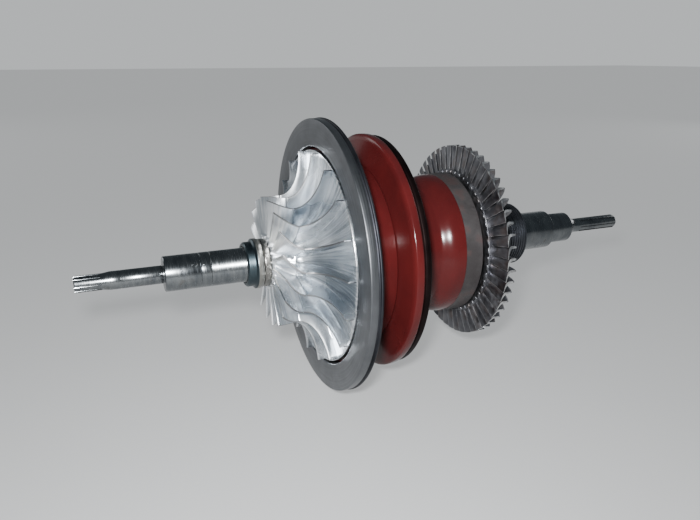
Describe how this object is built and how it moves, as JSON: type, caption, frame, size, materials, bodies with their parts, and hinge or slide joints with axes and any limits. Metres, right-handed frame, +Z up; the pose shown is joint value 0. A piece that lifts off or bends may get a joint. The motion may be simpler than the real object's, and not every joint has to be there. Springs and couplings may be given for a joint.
{
  "type": "turbocharger rotor shaft with partition wall",
  "caption": "Stepped steel rotor shaft carrying an inducer and impeller, an axial turbine wheel and seals, turning inside a flanged partition wall.",
  "frame": {"origin": "lowest middle point of the carrier ring's rear face, on its seat circle of 214 mm radius", "axes": "+X along the shaft from the compressor end to the turbine end, +Z up"},
  "size_m": [1.027, 0.458, 0.458],
  "materials": {
    "shaft_steel": "ground and oiled",
    "oil_dark_steel": "dark with oil",
    "wheel_aluminium": "milled and polished",
    "turbine_steel": "heat stained",
    "ring_steel": "faced on a lathe",
    "red_paint": "gloss red machine paint",
    "bare_casting": "bare, heat marked"
  },
  "bodies": {
    "partition_wall": {"diffuser_ring": "ring_steel", "carrier_ring": "oil_dark_steel", "partition_plate": "red_paint", "neck_casting": "red_paint", "outlet_flange": "red_paint", "backing_ring": "oil_dark_steel", "exhaust_drum": "red_paint", "bare_end_ring": "bare_casting", "end_cover": "bare_casting", "air_seal_bush": "bare_casting", "gas_seal_bush": "bare_casting"},
    "rotor": {"shaft": "shaft_steel", "locating_collar": "oil_dark_steel", "clamping_ring": "shaft_steel", "inducer_wheel": "wheel_aluminium", "impeller_wheel": "wheel_aluminium", "air_seal_sleeve": "shaft_steel", "gas_seal_sleeve": "shaft_steel", "turbine_disc": "turbine_steel", "turbine_end_seal": "oil_dark_steel", "turbine_blades_01": "turbine_steel", "turbine_blades_02": "turbine_steel", "turbine_blades_03": "turbine_steel", "turbine_blades_04": "turbine_steel", "turbine_blades_05": "turbine_steel", "turbine_blades_06": "turbine_steel", "turbine_blades_07": "turbine_steel", "turbine_blades_08": "turbine_steel", "turbine_blades_09": "turbine_steel"}
  },
  "joints": [
    {"name": "rotor_spin", "type": "hinge", "parent": "partition_wall", "child": "rotor", "pos_m": [0, 0, 0.214], "axis": [1, 0, 0], "continuous": true}
  ]
}
